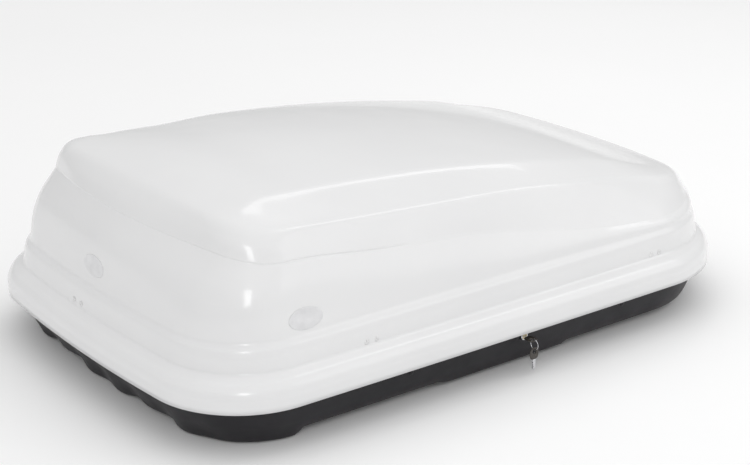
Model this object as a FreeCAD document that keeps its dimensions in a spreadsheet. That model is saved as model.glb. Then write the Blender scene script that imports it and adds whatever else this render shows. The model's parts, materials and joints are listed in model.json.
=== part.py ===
import FreeCAD, Part
import math
import os
import Sketcher

# Roof cargo box: a thin moulded lid over a thin moulded tray. The lid turns on three hinges
# along the left long side (+Y), a key lock and a sliding bar close the right long side (-Y),
# and an arm at each end carries the open lid. X is forward, towards the low nose, and Z is up.
# The origin is on the ground, under the middle of the rim.

V = FreeCAD.Vector
document = FreeCAD.newDocument("roof_cargo_box")
sheet = document.addObject("Spreadsheet::Sheet", "sizes")

SIZES = [
    ("rim_length", 1340, "overall length at the lid's rim"),
    ("rim_width", 875, "overall width at the lid's rim"),
    ("side_bow", 4.5, "rise of each long side's bow"),
    ("rear_bow", 28.7, "rise of the rear end's bow"),
    ("front_bow", 86, "rise of the front end's bow"),
    ("rear_corner", 169, "plan radius of the rear corners"),
    ("front_corner", 240, "plan radius of the front corners"),
    ("wall", 3, "thickness of both mouldings"),
    ("rim_bottom", 82, "height of the lid's lower edge"),
    ("lip_top", 117, "height of the tray's upturned lip"),
    ("floor_bottom", 16, "underside of the tray's floor"),
    ("crown_rise", 20, "rise of the lid's crown above its panel edges"),
    ("crown_half", 265, "half width of the crown panel"),
    ("edge_half", 333, "half width at the roof's side edge"),
    ("crease_half", 358, "half width at the side wall's crease"),
    ("runner_width", 150, "width of the keel under the floor"),
    ("runner_length", 1010, "length of the keel"),
    ("runner_middle", -100, "X of the keel's middle"),
    ("bar_slot_length", 220, "mounting slot, end to end"),
    ("bar_slot_width", 8.5, "mounting slot, width"),
    ("bar_slot_x", 300, "mounting slot centres, from the middle"),
    ("bar_slot_y", 280, "mounting slot centres, from the middle"),
    ("rail_length", 900, "floor rail length"),
    ("rail_width", 44, "floor rail width"),
    ("strip", 2, "thickness of the steel strip parts"),
    ("hinge_y", 431, "hinge axis, from the middle"),
    ("hinge_z", 76, "hinge axis height"),
    ("hinge_pitch", 370, "distance between hinges"),
    ("hinge_width", 72, "length of a hinge along its pin"),
    ("knuckle_radius", 4.8, "outside of a hinge knuckle"),
    ("hinge_pin_radius", 2, "hinge pin"),
    ("running_gap", 0.05, "radial clearance of a turning pin"),
    ("stay_radius", 260, "stay arm, pivot to slide pin, and hinge to pivot"),
    ("stay_slope", 9.5, "slope of the slotted rail, degrees"),
    ("rear_stay_plane", 613, "inner face of the rear stay arm, from the middle"),
    ("front_stay_plane", 602, "inner face of the front stay arm, from the middle"),
    ("stay_thick", 4, "thickness of a stay arm"),
    ("stay_pin_radius", 3.5, "slide pin in the slotted rail"),
    ("stay_pivot_radius", 3, "pivot pin of a stay arm"),
    ("lid_swing", 55, "how far the lid opens, degrees"),
    ("lock_x", 34, "lock axis, X"),
    ("lock_y", 413, "outer face of the tray at the lock, from the middle"),
    ("lock_z", 66, "lock axis height"),
    ("plug_radius", 5.5, "turning plug of the lock"),
    ("crank_radius", 12, "crank pin on the lock's cam"),
    ("catch_x", 346, "catch positions, from the lock axis"),
    ("catch_y", 383.5, "outer face of the sliding bar, from the middle"),
    ("catch_z", 116, "height of the catch tongues"),
    ("tongue_radius", 3.5, "catch tongue"),
    ("bar_thick", 2.5, "thickness of the sliding bar"),
    ("crank_pin_radius", 2.2, "crank pin on the lock's cam"),
    ("key_head", 24, "length of a key's head"),
    ("key_width", 21, "width of a key's head"),
    ("key_thick", 2.2, "thickness of a key's head"),
    ("blade_width", 7, "width of a key's blade"),
    ("blade_length", 22, "length of a key's blade"),
    ("ring_radius", 10, "key ring, to the middle of its wire"),
    ("ring_wire", 0.9, "radius of the key ring's wire"),
    ("badge_length", 70, "length of a badge"),
    ("badge_height", 38, "height of a badge"),
    ("badge_thick", 1.2, "thickness of a badge"),
]
for row, (alias, value, meaning) in enumerate(SIZES, start=1):
    sheet.set(f"A{row}", alias)
    sheet.set(f"B{row}", str(value))
    sheet.set(f"C{row}", meaning)
    sheet.setAlias(f"B{row}", alias)
document.recompute()


def size(alias):
    return float(sheet.get(alias))


SUBPARTS = []


def subpart(item, label):
    """Register a finished document object under the name of its node."""
    item.Label = label
    SUBPARTS.append(item)
    return item


# ---------------------------------------------------------------- primitives and booleans

AXIS_TURNS = {
    "X": FreeCAD.Rotation(V(0, 1, 0), 90),
    "Y": FreeCAD.Rotation(V(1, 0, 0), -90),
    "Z": FreeCAD.Rotation(),
}


def place(item, at):
    """Bind a primitive's place to three expressions."""
    for letter, expression in zip("xyz", at):
        item.setExpression(f".Placement.Base.{letter}", str(expression))


def block(name, length, width, height, at):
    """Box with its lowest corner at the given place."""
    item = document.addObject("Part::Box", name)
    for prop, expression in (("Length", length), ("Width", width), ("Height", height)):
        item.setExpression(prop, str(expression))
    place(item, at)
    return item


def rod(name, radius, length, axis, at):
    """Cylinder that starts at the given place and runs along +axis."""
    item = document.addObject("Part::Cylinder", name)
    item.setExpression("Radius", str(radius))
    item.setExpression("Height", str(length))
    item.Placement.Rotation = AXIS_TURNS[axis]
    place(item, at)
    return item


def fused(name, items):
    item = document.addObject("Part::MultiFuse", name)
    item.Shapes = items
    return item


def cut(name, base, tool):
    item = document.addObject("Part::Cut", name)
    item.Base = base
    item.Tool = tool
    return item


# ---------------------------------------------------------------- sketched plates

def origin_plane(body, role):
    return next(item for item in body.Origin.OriginFeatures if item.Role == role)


def sketch_on(body, name, role="XY_Plane"):
    sketch = body.newObject("Sketcher::SketchObject", name)
    sketch.AttachmentSupport = (origin_plane(body, role), [""])
    sketch.MapMode = "FlatFace"
    return sketch


def draw_polygon(sketch, points):
    """Closed outline through the points."""
    count = len(points)
    for index, point in enumerate(points):
        after = points[(index + 1) % count]
        sketch.addGeometry(Part.LineSegment(V(*point, 0), V(*after, 0)), False)
    for index in range(count):
        sketch.addConstraint(Sketcher.Constraint("Coincident", index, 2, (index + 1) % count, 1))


def draw_circle(sketch, centre, radius):
    """Circle whose radius is bound to an expression."""
    index = sketch.addGeometry(Part.Circle(V(*centre, 0), V(0, 0, 1), 1), False)
    rule = sketch.addConstraint(Sketcher.Constraint("Radius", index, 1.0))
    sketch.setExpression(f"Constraints[{rule}]", str(radius))


def draw_rectangle(sketch, width, height, centre=(0, 0)):
    """Rectangle about a centre, its width and height bound to expressions."""
    x, y = centre
    corners = [(x - 1, y - 1), (x + 1, y - 1), (x + 1, y + 1), (x - 1, y + 1)]
    first = sketch.GeometryCount
    for index in range(4):
        start, end = corners[index], corners[(index + 1) % 4]
        sketch.addGeometry(Part.LineSegment(V(*start, 0), V(*end, 0)), False)
    middle = sketch.addGeometry(Part.Point(V(x, y, 0)), True)
    for index in range(4):
        after = first + (index + 1) % 4
        sketch.addConstraint(Sketcher.Constraint("Coincident", first + index, 2, after, 1))
    for index, kind in enumerate(("Horizontal", "Vertical") * 2):
        sketch.addConstraint(Sketcher.Constraint(kind, first + index))
    sketch.addConstraint(Sketcher.Constraint("Symmetric", first, 1, first + 2, 1, middle, 1))
    for letter, value in (("X", x), ("Y", y)):
        sketch.addConstraint(Sketcher.Constraint(f"Distance{letter}", -1, 1, middle, 1, value))
    for line, letter, expression in ((0, "X", width), (1, "Y", height)):
        kind = Sketcher.Constraint(f"Distance{letter}", first + line, 1, first + line, 2, 2.0)
        rule = sketch.addConstraint(kind)
        sketch.setExpression(f"Constraints[{rule}]", str(expression))


def draw_slot(sketch, start, end, radius):
    """Slot with round ends between two centres."""
    run = V(*end, 0) - V(*start, 0)
    heading = math.atan2(run.y, run.x)
    side = V(-math.sin(heading), math.cos(heading), 0) * radius
    a, b = V(*start, 0), V(*end, 0)
    sketch.addGeometry(Part.LineSegment(a - side, b - side), False)
    sketch.addGeometry(Part.LineSegment(b + side, a + side), False)
    for centre, opening in ((b, heading - math.pi / 2), (a, heading + math.pi / 2)):
        round_end = Part.Circle(centre, V(0, 0, 1), radius)
        arc = Part.ArcOfCircle(round_end, opening, opening + math.pi)
        sketch.addGeometry(arc, False)


def pad(body, sketch, length, reverse=False):
    feature = body.newObject("PartDesign::Pad", "pad")
    feature.Profile = sketch
    feature.setExpression("Length", str(length))
    feature.Reversed = reverse
    return feature


def pocket_through(body, sketch):
    feature = body.newObject("PartDesign::Pocket", "pocket")
    feature.Profile = sketch
    feature.Type = "ThroughAll"
    feature.Midplane = True
    return feature


def body_named(label):
    return subpart(document.addObject("PartDesign::Body", label), label)


def plate(label, points, thickness, holes=(), slots=(), role="XY_Plane", reverse=False):
    """Flat plate: an outline padded to its thickness, with round holes and slots."""
    body = body_named(label)
    outline_sketch = sketch_on(body, label + "_outline", role)
    draw_polygon(outline_sketch, points)
    pad(body, outline_sketch, thickness, reverse)
    if holes or slots:
        hole_sketch = sketch_on(body, label + "_holes", role)
        for centre, radius in holes:
            draw_circle(hole_sketch, centre, radius)
        for start, end, radius in slots:
            draw_slot(hole_sketch, start, end, radius)
        pocket_through(body, hole_sketch)
    return body


# ---------------------------------------------------------------- rivets and screws

def rivet(base, direction, grip, head_radius=5.0):
    """Blind rivet: domed head outside the sheet, shank through it and a swelled tail."""
    shank_radius, head_height, tail_height = 2.0, 1.6, 2.4
    direction = V(*direction)
    base = V(*base)
    shank = Part.makeCylinder(shank_radius, grip, base, direction * -1)
    head = Part.makeCone(head_radius, head_radius * 0.45, head_height, base, direction)
    tail_at = base - direction * grip
    tail = Part.makeCone(shank_radius * 1.5, shank_radius, tail_height, tail_at, direction * -1)
    return shank.fuse([head, tail]).removeSplitter()


def rivet_group(label, rivets):
    """Separate rivets kept under one name: (head place, way it faces, grip)."""
    item = document.addObject("Part::Feature", label)
    item.Shape = Part.makeCompound([rivet(*values) for values in rivets])
    return subpart(item, label)


# ---------------------------------------------------------------- the two mouldings

HALF_LENGTH = size("rim_length") / 2
HALF_WIDTH = size("rim_width") / 2
WALL = size("wall")


def bow_radius(half_chord, rise):
    return (half_chord ** 2 + rise ** 2) / (2 * rise)


SIDE_RADIUS = bow_radius(HALF_LENGTH, size("side_bow"))
REAR_RADIUS = bow_radius(HALF_WIDTH, size("rear_bow"))
FRONT_RADIUS = bow_radius(HALF_WIDTH, size("front_bow"))


def corner(end_centre, end_radius, side_centre, side_radius, fillet, sign_x, sign_y):
    """Centre of a corner arc that touches an end's bow and a side's bow from inside."""
    reach_end = end_radius - fillet
    reach_side = side_radius - fillet
    gap = end_centre - side_centre
    distance = gap.Length
    along = (reach_side ** 2 - reach_end ** 2 + distance ** 2) / (2 * distance)
    off = math.sqrt(reach_side ** 2 - along ** 2)
    way = gap * (1 / distance)
    normal = V(-way.y, way.x, 0)
    choices = [side_centre + way * along + normal * off * turn for turn in (1, -1)]
    return max(choices, key=lambda spot: spot.x * sign_x + spot.y * sign_y)


def outline(height, end_inset, side_inset, corner_loss=0.35):
    """Plan outline of a moulding: four bowed sides joined by four tangent corner arcs."""
    half_length = HALF_LENGTH - end_inset
    half_width = HALF_WIDTH - side_inset
    ends = {
        -1: (REAR_RADIUS, size("rear_corner") - corner_loss * end_inset),
        1: (FRONT_RADIUS, size("front_corner") - corner_loss * end_inset),
    }
    arcs = []
    touches = {}
    for sign_x, (end_radius, fillet) in ends.items():
        end_centre = V(sign_x * (half_length - end_radius), 0, 0)
        for sign_y in (-1, 1):
            side_centre = V(0, sign_y * (half_width - SIDE_RADIUS), 0)
            middle = corner(end_centre, end_radius, side_centre, SIDE_RADIUS, fillet, sign_x, sign_y)
            to_end = (middle - end_centre).normalize()
            to_side = (middle - side_centre).normalize()
            half_way = (to_end + to_side).normalize()
            touches[sign_x, sign_y] = [middle + way * fillet for way in (to_end, half_way, to_side)]
    rear = V(-half_length, 0, 0)
    front = V(half_length, 0, 0)
    right = V(0, -half_width, 0)
    left = V(0, half_width, 0)
    order = [
        (touches[-1, -1][0], touches[-1, -1][1], touches[-1, -1][2]),
        (touches[-1, -1][2], right, touches[1, -1][2]),
        (touches[1, -1][2], touches[1, -1][1], touches[1, -1][0]),
        (touches[1, -1][0], front, touches[1, 1][0]),
        (touches[1, 1][0], touches[1, 1][1], touches[1, 1][2]),
        (touches[1, 1][2], left, touches[-1, 1][2]),
        (touches[-1, 1][2], touches[-1, 1][1], touches[-1, 1][0]),
        (touches[-1, 1][0], rear, touches[-1, -1][0]),
    ]
    lift = V(0, 0, height)
    for start, through, end in order:
        arcs.append(Part.Arc(start + lift, through + lift, end + lift).toShape())
    return Part.Wire(arcs)


def rings(sections, inset):
    """Solid through a stack of plan outlines, all drawn in by the same extra inset."""
    wires = [outline(height, end + inset, side + inset) for height, end, side in sections]
    return Part.makeLoft(wires, True, True)


# Height above the ground, inset at the ends, inset at the long sides.
LID_WALL = [
    (size("rim_bottom"), 0, 0),
    (104, 0, 0),
    (122, 6, 6),
    (136, 20, 19),
    (141, 31, 29),
    (165, 34, 32),
    (178, 38, 36),
    (188, 47, 44),
    (263, 72, 54),
    (319, 107, 66),
    (351, 120, 72),
    (374, 136, 80),
    (412, 200, 120),
]
TRAY_WALL = [
    (size("floor_bottom"), 76, 56),
    (28, 62, 42),
    (48, 38, 25),
    (82, 22, 24),
    (84, 9, 9),
    (size("lip_top"), 9, 9),
]
# Station along X, then the heights of the side crease, the roof edge and the crown's panel edge.
ROOF_STATIONS = [
    (-720, 330, 350, 376),
    (-450, 310, 352, 384),
    (-250, 287, 342, 380),
    (-50, 266, 330, 368),
    (150, 240, 312, 344),
    (300, 208, 291, 318),
    (450, 190, 266, 282),
    (570, 180, 240, 246),
    (720, 165, 200, 200),
]


def roof_section(station, drop):
    """Cross-section of the roof: side wall, chamfer and a crowned middle panel."""
    x, crease, edge, panel = station
    below = size("rim_bottom") - 20
    right = [
        V(x, -HALF_WIDTH - 20, below),
        V(x, -HALF_WIDTH - 20 + drop, 150 - drop),
        V(x, -size("crease_half") - 36 + drop, 188 - drop if crease > 188 else crease - drop - 8),
        V(x, -size("crease_half") + drop, crease - drop),
        V(x, -size("edge_half") + drop, edge - drop),
        V(x, -size("crown_half") + drop, panel - drop),
    ]
    left = [V(x, -point.y, point.z) for point in reversed(right)]
    top = V(x, 0, panel + size("crown_rise") - drop)
    edges = [Part.makeLine(a, b) for a, b in zip(right, right[1:])]
    edges.append(Part.Arc(right[-1], top, left[0]).toShape())
    edges += [Part.makeLine(a, b) for a, b in zip(left, left[1:])]
    edges.append(Part.makeLine(left[-1], right[0]))
    return Part.Wire(edges)


def lid_form(inset, start):
    walls = [(start, *LID_WALL[0][1:])] + LID_WALL[1:]
    roof = Part.makeLoft([roof_section(station, inset) for station in ROOF_STATIONS], True, True)
    return rings(walls, inset).common(roof)


lid = document.addObject("Part::Feature", "lid_shell")
lid.Shape = lid_form(0, size("rim_bottom")).cut(lid_form(WALL, size("rim_bottom") - 6))
subpart(lid, "lid_shell")


# Ridges pressed down from the tray's floor: length, width, middle X, middle Y, underside, taper.
RIDGES = [
    (size("runner_length"), size("runner_width"), size("runner_middle"), 0, 0, 14),
    (290, 620, 12, 0, 9, 14),
    (100, 60, -480, -300, 0, 10),
    (100, 60, -480, 300, 0, 10),
]


def ridge(length, width, middle_x, middle_y, bottom, draft, inset):
    """Long tapered ridge pressed down from the tray's floor."""
    top = size("floor_bottom") + WALL + 4
    wires = []
    for height, spread in ((bottom + inset, -inset), (top, draft - inset)):
        half_x = length / 2 + spread
        half_y = width / 2 + spread
        corners = [(-half_x, -half_y), (half_x, -half_y), (half_x, half_y), (-half_x, half_y)]
        points = [V(middle_x + x, middle_y + y, height) for x, y in corners]
        wires.append(Part.makePolygon(points + points[:1]))
    return Part.makeLoft(wires, True, True)


def tray_form(inset):
    low = size("floor_bottom") + inset
    high = size("lip_top") + (6 if inset else 0)
    walls = [(low, *TRAY_WALL[0][1:])] + TRAY_WALL[1:-1] + [(high, *TRAY_WALL[-1][1:])]
    return rings(walls, inset).fuse([ridge(*values, inset) for values in RIDGES])


tray = document.addObject("Part::Feature", "tray_moulding")
tray.Shape = tray_form(0).cut(tray_form(WALL))


def bar_slot(name, x_sign, y_sign):
    """Cutter, deeper than the floor, for a roof-bar clamp's long hole along X."""
    low, depth = 5, 30
    straight = "sizes.bar_slot_length - sizes.bar_slot_width"
    half = "sizes.bar_slot_width / 2"
    x = f"({x_sign} * sizes.bar_slot_x)"
    y = f"({y_sign} * sizes.bar_slot_y)"
    middle = block(name + "_run", straight, "sizes.bar_slot_width", depth,
                   (f"{x} - ({straight}) / 2", f"{y} - {half}", low))
    ends = [rod(f"{name}_end{index}", half, depth, "Z",
                (f"{x} + {way} * ({straight}) / 2", y, low)) for index, way in enumerate((-1, 1))]
    return [middle] + ends


slot_tools = []
for x_sign in (-1, 1):
    for y_sign in (-1, 1):
        name = f"slot_{'rear' if x_sign < 0 else 'front'}_{'right' if y_sign < 0 else 'left'}"
        slot_tools += bar_slot(name, x_sign, y_sign)
lock_hole = rod("lock_hole", "sizes.plug_radius + 1.75", 30, "Y",
                ("sizes.lock_x", "-sizes.lock_y - 10", "sizes.lock_z"))
subpart(cut("base_shell", tray, fused("tray_openings", slot_tools + [lock_hole])), "base_shell")


def side_y(x):
    """Outer face of the rim's left long side at a station along X."""
    return HALF_WIDTH - SIDE_RADIUS + math.sqrt(SIDE_RADIUS ** 2 - x ** 2)


def end_x(end, y):
    """Distance from the middle to the outer face of the rim's rear or front end."""
    radius = REAR_RADIUS if end < 0 else FRONT_RADIUS
    return HALF_LENGTH - radius + math.sqrt(radius ** 2 - y ** 2)


# ---------------------------------------------------------------- floor rails

def floor_rail(label, side):
    """Steel strip on the tray's floor that spreads the load of the roof-bar clamps."""
    body = body_named(label)
    outline_sketch = sketch_on(body, label + "_outline")
    draw_rectangle(outline_sketch, "sizes.rail_length", "sizes.rail_width")
    pad(body, outline_sketch, "sizes.strip")
    hole_sketch = sketch_on(body, label + "_slots")
    reach = (size("bar_slot_length") - size("bar_slot_width")) / 2
    for way in (-1, 1):
        middle = way * size("bar_slot_x")
        ends = (middle - reach, 0), (middle + reach, 0)
        draw_slot(hole_sketch, *ends, size("bar_slot_width") / 2)
    pocket_through(body, hole_sketch)
    body.setExpression(".Placement.Base.y", f"{side} * sizes.bar_slot_y")
    body.setExpression(".Placement.Base.z", "sizes.floor_bottom + sizes.wall")


floor_rail("floor_rail_right", -1)
floor_rail("floor_rail_left", 1)
RAIL_RIVETS = (-430, -170, 170, 430)
floor_top = size("floor_bottom") + WALL
rail_top = floor_top + size("strip")
rivet_group("floor_rail_rivets", [
    ((x, side * size("bar_slot_y"), rail_top), (0, 0, 1), size("strip") + WALL)
    for side in (-1, 1) for x in RAIL_RIVETS
])


# ---------------------------------------------------------------- hinges

HINGES = {"rear": -1, "middle": 0, "front": 1}
TRAY_SIDE_INSET = TRAY_WALL[3][2]
HINGE_GAP = 0.3
BASE_LEAF_HEIGHT = 26
LID_LEAF_HEIGHT = 18
LID_NECK_HEIGHT = 16
LEAF_RIVET_STEP = 24


def knuckle(name, x, start, length):
    at = (x + start, "sizes.hinge_y", "sizes.hinge_z")
    return rod(name, "sizes.knuckle_radius", length, "X", at)


def hinge(place_name, step):
    """Butt hinge: one leaf on the tray's side, one inside the lid's skirt, and a pin."""
    x = step * size("hinge_pitch")
    half = size("hinge_width") / 2
    third = size("hinge_width") / 3
    gap = HINGE_GAP
    pivot_y, pivot_z, thick = size("hinge_y"), size("hinge_z"), size("strip")
    wall_y = side_y(x) - TRAY_SIDE_INSET + gap
    base_name = f"hinge_{place_name}_base_leaf"
    lid_name = f"hinge_{place_name}_lid_leaf"
    base_items = [
        block(base_name + "_plate", 2 * half, thick, BASE_LEAF_HEIGHT,
              (x - half, wall_y, pivot_z - thick - BASE_LEAF_HEIGHT)),
        block(base_name + "_left_bridge", third - gap, pivot_y - wall_y, thick,
              (x - half, wall_y, pivot_z - 4)),
        block(base_name + "_right_bridge", third - gap, pivot_y - wall_y, thick,
              (x + half - third + gap, wall_y, pivot_z - 4)),
        knuckle(base_name + "_left_knuckle", x, -half, third - gap),
        knuckle(base_name + "_right_knuckle", x, half - third + gap, third - gap),
    ]
    skirt_y = side_y(abs(x) + half) - WALL - gap - thick
    lid_items = [
        knuckle(lid_name + "_knuckle", x, gap - third / 2, third - 2 * gap),
        block(lid_name + "_neck", third - 2 * gap, thick, LID_NECK_HEIGHT,
              (x + gap - third / 2, skirt_y, pivot_z)),
        block(lid_name + "_plate", 2 * half - 4, thick, LID_LEAF_HEIGHT,
              (x - half + 2, skirt_y, pivot_z + LID_NECK_HEIGHT / 2)),
    ]
    bore_at = (x - half - 1, "sizes.hinge_y", "sizes.hinge_z")
    for name, items in ((base_name, base_items), (lid_name, lid_items)):
        bore = rod(name + "_bore", "sizes.hinge_pin_radius + sizes.running_gap",
                   "sizes.hinge_width + 2", "X", bore_at)
        subpart(cut(name, fused(name + "_solid", items), bore), name)
    pin_items = [
        rod(f"hinge_{place_name}_shank", "sizes.hinge_pin_radius", "sizes.hinge_width + 2", "X",
            (x - half - 1, "sizes.hinge_y", "sizes.hinge_z")),
        rod(f"hinge_{place_name}_head", "sizes.hinge_pin_radius + 1.5", 1.5, "X",
            (x - half - 1.8, "sizes.hinge_y", "sizes.hinge_z")),
    ]
    subpart(fused(f"hinge_{place_name}_pin", pin_items), f"hinge_{place_name}_pin")
    grip = WALL + gap + thick
    rivet_low, rivet_high = pivot_z - 18, pivot_z + 19
    tray_rivets = []
    lid_rivets = []
    for way in (-1, 1):
        rivet_x = x + way * LEAF_RIVET_STEP
        tray_rivets.append(((rivet_x, wall_y + thick, rivet_low), (0, 1, 0), grip))
        lid_rivets.append(((rivet_x, side_y(rivet_x), rivet_high), (0, 1, 0), grip))
    return tray_rivets, lid_rivets


hinge_rivets = [hinge(name, step) for name, step in HINGES.items()]
rivet_group("hinge_base_rivets", [item for tray_set, _ in hinge_rivets for item in tray_set])
rivet_group("hinge_lid_rivets", [item for _, lid_set in hinge_rivets for item in lid_set])


# ---------------------------------------------------------------- lid stays

# Each arm is as long as the distance from the hinge axis to the arm's own pivot. The pin at
# its free end then runs along a straight slot that points at the hinge axis, and the arm
# turns exactly twice as far as the lid.
ENDS = {"rear": -1, "front": 1}
RADIUS = size("stay_radius")
SLOPE = math.radians(size("stay_slope"))
PIVOT = (size("hinge_y") - RADIUS, size("hinge_z"))


def pin_distance(lid_angle):
    """Distance from the hinge axis to the slide pin at a lid angle in radians."""
    return 2 * RADIUS * math.cos(SLOPE + lid_angle)


CLOSED_REACH = pin_distance(0)
OPEN_REACH = pin_distance(math.radians(size("lid_swing")))
REST_PIN = (size("hinge_y") - CLOSED_REACH * math.cos(SLOPE),
            size("hinge_z") + CLOSED_REACH * math.sin(SLOPE))
ARM_ANGLE = math.degrees(2 * SLOPE)
STAY_GAP = 2
RAIL_THICK = 3
RAIL_HALF = 14
SPACER_WIDTH = 52
SPACER_HEIGHT = 8
SPACER_Y = 47.5
SPACER_WALL_INSET = 36
SPACER_RIVET_REACH = 13.5
BRACKET_DEPTH = 7
BRACKET_WIDTH = 50
BRACKET_RIVET_REACH = 17
BRACKET_RIVET_Z = 66
LID_RIVET_INSET = 32
TRAY_RIVET_INSET = 29.5


def end_plane_placement(end, y, z, degrees_up, depth):
    """Frame in a plane across the box: its x runs towards -Y and up, its z runs outboard."""
    slant = math.radians(degrees_up)
    along = V(0, -math.cos(slant), math.sin(slant))
    outboard = V(end, 0, 0)
    across = outboard.cross(along)
    turn = FreeCAD.Rotation(along, across, outboard, "ZXY")
    return FreeCAD.Placement(V(end * depth, y, z), turn)


def stay(end_name, end):
    """Arm, slide pin, slotted rail with its spacer, and bracket with its pivot pin."""
    plane = size(f"{end_name}_stay_plane")
    thick = size("stay_thick")
    pin = size("stay_pin_radius")
    pivot = size("stay_pivot_radius")
    rail_depth = plane + thick + STAY_GAP
    arm = plate(f"stay_{end_name}_arm",
                [(-9, -7), (RADIUS + 8, -5), (RADIUS + 8, 5), (-9, 7)], "sizes.stay_thick",
                holes=[((0, 0), "sizes.stay_pivot_radius + sizes.running_gap"),
                       ((RADIUS, 0), "sizes.stay_pin_radius")])
    arm.Placement = end_plane_placement(end, *PIVOT, ARM_ANGLE, plane)
    slide_length = thick + 4.7
    slide_low = min(end * plane, end * (plane + slide_length))
    slide = rod(f"stay_{end_name}_slide", "sizes.stay_pin_radius", slide_length, "X",
                (slide_low, *REST_PIN))
    cap = rod(f"stay_{end_name}_slide_cap", "sizes.stay_pin_radius + 2", 2, "X",
              (end * (plane - 1) - 1, *REST_PIN))
    subpart(fused(f"stay_{end_name}_slide_pin", [slide, cap]), f"stay_{end_name}_slide_pin")

    low, high = OPEN_REACH - 22, CLOSED_REACH + 16
    rail_points = [(low, -RAIL_HALF), (high, -RAIL_HALF), (high, RAIL_HALF), (low, RAIL_HALF)]
    rail = plate(f"stay_{end_name}_rail", rail_points, RAIL_THICK,
                 slots=[((OPEN_REACH - 2, 0), (CLOSED_REACH + 2, 0), pin + 0.4)])
    rail.Placement = end_plane_placement(end, size("hinge_y"), size("hinge_z"),
                                         size("stay_slope"), rail_depth)
    spacer_x = rail_depth + RAIL_THICK
    spacer_end_y = SPACER_Y + SPACER_WIDTH / 2
    spacer_depth = end_x(end, spacer_end_y) - SPACER_WALL_INSET - spacer_x
    spacer_low = spacer_x if end > 0 else -spacer_x - spacer_depth
    rivet_z = size("hinge_z") + (size("hinge_y") - SPACER_Y) * math.tan(SLOPE) + 10
    spacer = block(f"stay_{end_name}_rail_spacer", spacer_depth, SPACER_WIDTH, SPACER_HEIGHT,
                   (spacer_low, SPACER_Y - SPACER_WIDTH / 2, rivet_z - SPACER_HEIGHT / 2))
    subpart(spacer, f"stay_{end_name}_rail_spacer")

    bracket_low = rail_depth if end > 0 else -rail_depth - BRACKET_DEPTH
    bracket = block(f"stay_{end_name}_bracket_block", BRACKET_DEPTH, BRACKET_WIDTH, 24,
                    (bracket_low, PIVOT[0] - BRACKET_WIDTH / 2, PIVOT[1] - 16))
    pivot_start = min(end * (plane - 3), end * (plane + thick + 9))
    pivot_items = [
        rod(f"stay_{end_name}_pivot_shank", pivot, thick + 12, "X", (pivot_start, *PIVOT)),
        rod(f"stay_{end_name}_pivot_head", 2 * pivot, 2, "X", (end * (plane - 2) - 1, *PIVOT)),
    ]
    bore = rod(f"stay_{end_name}_bracket_bore", "sizes.stay_pivot_radius + sizes.running_gap", 20,
               "X", (bracket_low - 3, *PIVOT))
    subpart(cut(f"stay_{end_name}_bracket", bracket, bore), f"stay_{end_name}_bracket")
    subpart(fused(f"stay_{end_name}_pivot_pin", pivot_items), f"stay_{end_name}_pivot_pin")

    lid_rivets = []
    tray_rivets = []
    for way in (-1, 1):
        y = SPACER_Y - way * SPACER_RIVET_REACH
        face = end_x(end, y) - LID_RIVET_INSET
        lid_rivets.append(((end * face, y, rivet_z), (end, 0, 0), face - rail_depth))
        y = PIVOT[0] + way * BRACKET_RIVET_REACH
        face = end_x(end, y) - TRAY_RIVET_INSET
        tray_rivets.append(((end * face, y, BRACKET_RIVET_Z), (end, 0, 0), face - rail_depth))
    return tray_rivets, lid_rivets


stay_rivets = [stay(name, end) for name, end in ENDS.items()]
rivet_group("stay_base_rivets", [item for tray_set, _ in stay_rivets for item in tray_set])
rivet_group("stay_lid_rivets", [item for _, lid_set in stay_rivets for item in lid_set])


# ---------------------------------------------------------------- lock

SLEEVE_LENGTH = 27
CAM_DEPTH = 24.6
lock_face = "-sizes.lock_y - 4"
lock_at = ("sizes.lock_x", lock_face, "sizes.lock_z")
barrel_solid = fused("lock_barrel_solid", [
    rod("lock_flange", "sizes.plug_radius + 2.5", 3.4, "Y", lock_at),
    rod("lock_sleeve", "sizes.plug_radius + 1.5", SLEEVE_LENGTH, "Y", lock_at),
])
barrel_bore = rod("lock_barrel_bore", "sizes.plug_radius + sizes.running_gap", 40, "Y",
                  ("sizes.lock_x", lock_face + " - 5", "sizes.lock_z"))
subpart(cut("lock_barrel", barrel_solid, barrel_bore), "lock_barrel")

nut = document.addObject("Part::Prism", "lock_nut_hexagon")
nut.Polygon = 6
nut.setExpression("Circumradius", "sizes.plug_radius + 6")
nut.Height = 4
nut.Placement.Rotation = AXIS_TURNS["Y"]
place(nut, ("sizes.lock_x", "-sizes.lock_y + 3.6", "sizes.lock_z"))
nut_bore = rod("lock_nut_bore", "sizes.plug_radius + 1.5", 10, "Y",
               ("sizes.lock_x", "-sizes.lock_y + 1", "sizes.lock_z"))
subpart(cut("lock_nut", nut, nut_bore), "lock_nut")

plug_solid = rod("lock_plug_solid", "sizes.plug_radius", SLEEVE_LENGTH + 1, "Y",
                 ("sizes.lock_x", lock_face + " + 0.4", "sizes.lock_z"))
keyway = block("keyway", "sizes.blade_width + 0.4", "sizes.blade_length + 1.5", "sizes.key_thick + 0.3",
               ("sizes.lock_x - sizes.blade_width / 2 - 0.2", lock_face + " - 1",
                "sizes.lock_z - sizes.key_thick / 2 - 0.15"))
subpart(cut("lock_plug", plug_solid, keyway), "lock_plug")

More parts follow.
